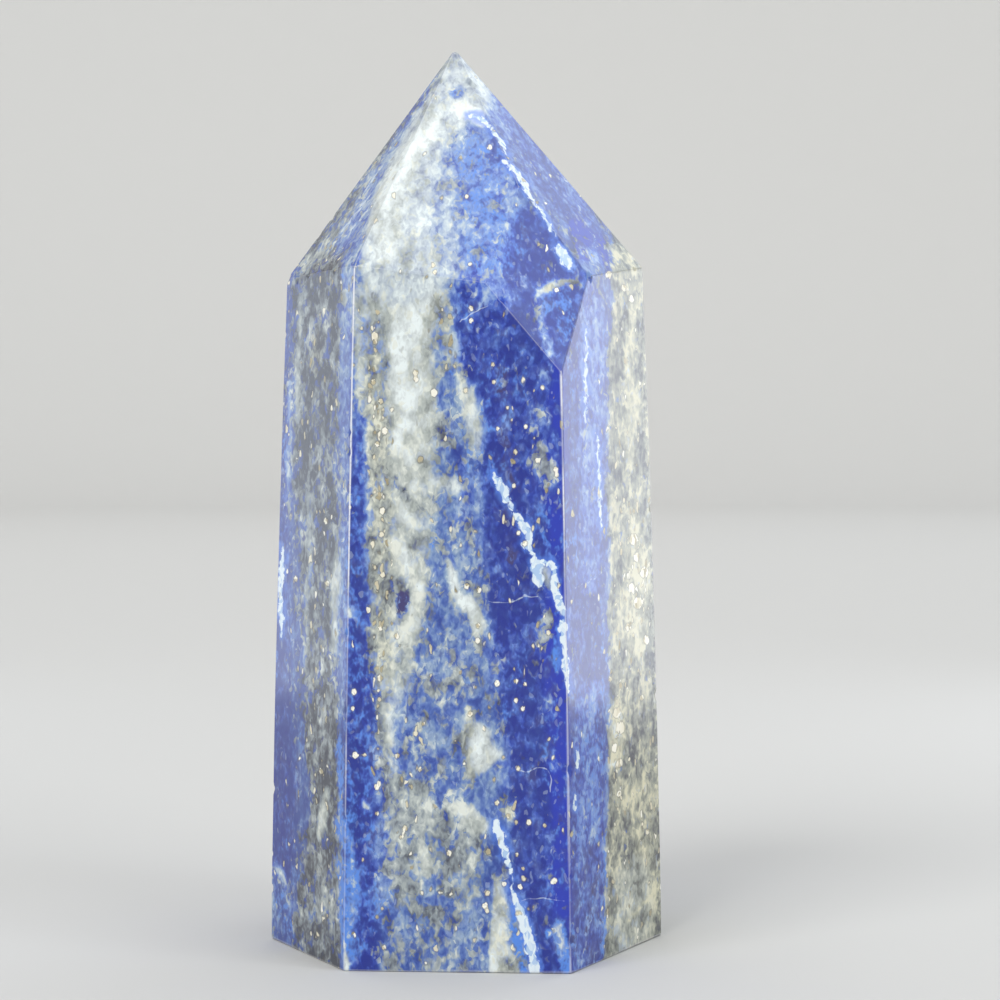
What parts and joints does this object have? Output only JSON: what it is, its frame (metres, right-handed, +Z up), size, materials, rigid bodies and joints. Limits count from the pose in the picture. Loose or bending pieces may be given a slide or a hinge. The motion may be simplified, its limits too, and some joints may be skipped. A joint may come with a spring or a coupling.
{
  "type": "polished lapis lazuli tower",
  "caption": "Polished lapis lazuli tower: a tapering hexagonal shaft with a pyramid crown and a kite-shaped corner facet, standing on a flat sawn foot.",
  "frame": {"origin": "on the ground, at the centre of the stone's footprint", "axes": "+Z up along the shaft to the tip; -Y is the way the wide front face looks; +X is to the right seen from the front"},
  "size_m": [0.0394, 0.036, 0.0892],
  "materials": {
    "polished_lapis": "polished, with a bright gloss; deep blue bands, white calcite, grey matrix and specks of pyrite"
  },
  "bodies": {
    "root": {"lapis_tower": "polished_lapis"}
  },
  "joints": []
}
